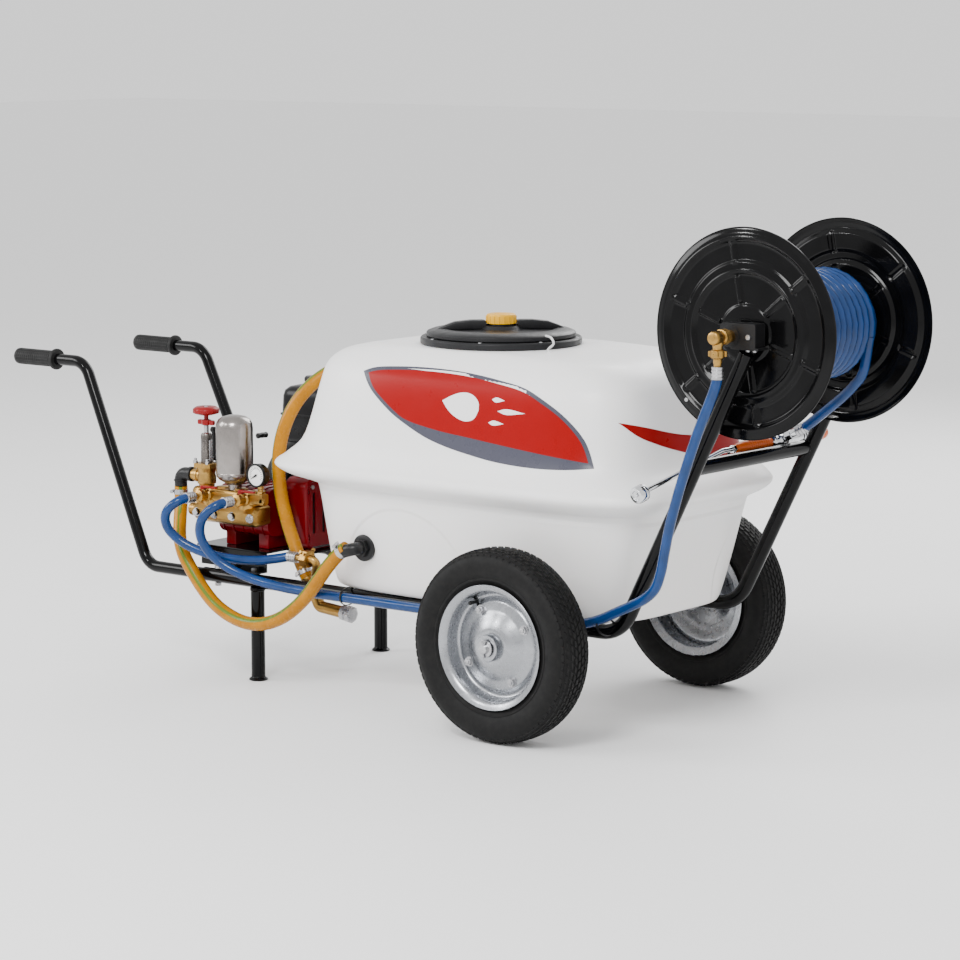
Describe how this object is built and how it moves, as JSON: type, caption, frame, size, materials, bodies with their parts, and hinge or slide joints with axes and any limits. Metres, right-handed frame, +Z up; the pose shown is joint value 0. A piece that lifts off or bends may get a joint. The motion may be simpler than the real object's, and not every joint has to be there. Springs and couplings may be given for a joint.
{
  "type": "wheeled sprayer cart",
  "caption": "Wheeled sprayer cart: moulded tank on a tube frame, engine-driven pump, hose reel on uprights and a spray gun on a crossbar.",
  "frame": {"origin": "on the ground, under the middle of the whole length and width", "axes": "+X forward, from the handles to the hose reel; +Y to the operator's left; +Z up"},
  "size_m": [2.0066, 0.762, 0.9505],
  "materials": {
    "black_paint": "gloss black powder coat",
    "engine_paint": "satin black enamel on cast and pressed metal",
    "grip_rubber": "matt ribbed moulding",
    "tyre_rubber": "matt with a moulded block tread",
    "belt_rubber": "matt, fabric-covered",
    "zinc": "zinc plated, satin",
    "pulley_iron": "turned grooves, satin",
    "tank_plastic": "translucent white rotational moulding, satin",
    "black_plastic": "satin",
    "yellow_plastic": "glossy",
    "blue_hose": "glossy reinforced hose cover",
    "yellow_hose": "glossy braided hose cover with a green stripe",
    "brass": "cast and turned, lightly tarnished",
    "red_paint": "gloss red enamel",
    "red_plastic": "satin",
    "stainless": "spun and brushed",
    "dial": "white dial in a dark bezel behind a clear window",
    "needle": "satin black",
    "orange_plastic": "satin",
    "chrome": "polished plating"
  },
  "bodies": {
    "frame": {"frame_rail_right": "black_paint", "frame_rail_left": "black_paint", "leg_right": "black_paint", "leg_left": "black_paint", "handle_right": "black_paint", "handle_left": "black_paint", "crossbar": "black_paint", "engine_plate": "black_paint", "engine_body": "engine_paint", "fuel_tank": "engine_paint", "grip_right": "grip_rubber", "grip_left": "grip_rubber", "drive_belt": "belt_rubber", "axle": "zinc", "tank": "tank_plastic", "lid_ring": "black_plastic", "strainer_basket": "black_plastic", "tank_elbow": "black_plastic", "bearing_block_right": "black_plastic", "bearing_block_left": "black_plastic", "bypass_elbow": "black_plastic", "air_cleaner": "black_plastic", "jet_hose": "blue_hose", "reel_feed_hose": "blue_hose", "reel_tail_hose": "blue_hose", "bypass_hose": "yellow_hose", "fill_hose": "yellow_hose", "swivel": "brass", "pump_head": "brass", "regulator_body": "brass", "ejector": "brass", "pump_crankcase": "red_paint", "belt_guard": "red_paint", "air_chamber": "stainless", "gauge": "dial", "gun_body": "orange_plastic", "lance": "chrome"},
    "wheel_right": {"tyre_right": "tyre_rubber", "rim_right": "zinc"},
    "wheel_left": {"tyre_left": "tyre_rubber", "rim_left": "zinc"},
    "reel": {"reel_disc_right": "black_paint", "reel_disc_left": "black_paint", "reel_drum": "black_paint", "hose_winding": "blue_hose"},
    "crank_knob": {"crank_knob": "black_plastic"},
    "lid": {"lid_cover": "black_plastic"},
    "vent_cap": {"vent_cap": "yellow_plastic"},
    "regulator_knob": {"regulator_knob": "red_plastic"},
    "lock_nut": {"lock_nut": "red_plastic"},
    "relief_lever": {"relief_lever": "black_plastic"},
    "gauge_needle": {"gauge_needle": "needle"},
    "outlet_lever_1": {"outlet_lever_1": "red_plastic"},
    "outlet_lever_2": {"outlet_lever_2": "red_plastic"},
    "pump_pulley": {"pump_pulley": "pulley_iron"},
    "engine_pulley": {"engine_pulley": "pulley_iron"},
    "recoil_handle": {"recoil_handle": "black_plastic"},
    "fuel_cap": {"fuel_cap": "black_plastic"},
    "gun_trigger": {"gun_trigger": "red_plastic"},
    "pattern_knob": {"gun_pattern_knob": "orange_plastic"}
  },
  "joints": [
    {"name": "wheel_right_spin", "type": "hinge", "parent": "frame", "child": "wheel_right", "pos_m": [0.39875, -0.325, 0.18], "axis": [0, 1, 0], "continuous": true},
    {"name": "wheel_left_spin", "type": "hinge", "parent": "frame", "child": "wheel_left", "pos_m": [0.39875, 0.325, 0.18], "axis": [0, 1, 0], "continuous": true},
    {"name": "reel_spin", "type": "hinge", "parent": "frame", "child": "reel", "pos_m": [0.81475, 0, 0.762], "axis": [0, 1, 0], "continuous": true},
    {"name": "crank_knob_spin", "type": "hinge", "parent": "reel", "child": "crank_knob", "pos_m": [0.69475, 0.24, 0.822], "axis": [0, 1, 0], "continuous": true},
    {"name": "lid_lift", "type": "slide", "parent": "frame", "child": "lid", "axis": [0, 0, 1], "range_m": [0, 0.08]},
    {"name": "vent_cap_turn", "type": "hinge", "parent": "lid", "child": "vent_cap", "pos_m": [0.14575, 0, 0.73], "axis": [0, 0, 1], "range_deg": [0, 90]},
    {"name": "pressure_turn", "type": "hinge", "parent": "frame", "child": "regulator_knob", "pos_m": [-0.47125, -0.172, 0.5], "axis": [0, 0, 1], "range_deg": [-360, 360]},
    {"name": "lock_nut_turn", "type": "hinge", "parent": "frame", "child": "lock_nut", "pos_m": [-0.47125, -0.172, 0.505], "axis": [0, 0, 1], "range_deg": [-180, 180]},
    {"name": "relief_lever_turn", "type": "hinge", "parent": "frame", "child": "relief_lever", "pos_m": [-0.47125, -0.151, 0.43], "axis": [-1, 0, 0], "range_deg": [0, 90]},
    {"name": "needle_turn", "type": "hinge", "parent": "frame", "child": "gauge_needle", "pos_m": [-0.31725, -0.196, 0.413], "axis": [0, 1, 0], "range_deg": [0, 240]},
    {"name": "outlet_1_turn", "type": "hinge", "parent": "frame", "child": "outlet_lever_1", "pos_m": [-0.45325, -0.203, 0.375], "axis": [0, 0, -1], "range_deg": [0, 90]},
    {"name": "outlet_2_turn", "type": "hinge", "parent": "frame", "child": "outlet_lever_2", "pos_m": [-0.35125, -0.203, 0.375], "axis": [0, 0, -1], "range_deg": [0, 90]},
    {"name": "pump_spin", "type": "hinge", "parent": "frame", "child": "pump_pulley", "pos_m": [-0.28525, -0.045, 0.33], "axis": [1, 0, 0], "continuous": true},
    {"name": "engine_spin", "type": "hinge", "parent": "frame", "child": "engine_pulley", "pos_m": [-0.28525, 0.105, 0.36], "axis": [1, 0, 0], "continuous": true},
    {"name": "starter_pull", "type": "slide", "parent": "frame", "child": "recoil_handle", "axis": [-1, 0, 0], "range_m": [0, 0.4]},
    {"name": "fuel_cap_turn", "type": "hinge", "parent": "frame", "child": "fuel_cap", "pos_m": [-0.38325, 0.06, 0.579], "axis": [0, 0, 1], "range_deg": [0, 90]},
    {"name": "trigger_lift", "type": "hinge", "parent": "frame", "child": "gun_trigger", "pos_m": [0.68375, 0.156, 0.538], "axis": [1, 0, 0], "range_deg": [0, 20]},
    {"name": "spray_pattern_turn", "type": "hinge", "parent": "frame", "child": "pattern_knob", "pos_m": [0.70175, 0.26, 0.534], "axis": [0, 1, 0], "range_deg": [0, 180]}
  ],
  "couplings": [
    {"joint": "engine_spin", "follows": "pump_spin", "ratio": 2.489}
  ]
}
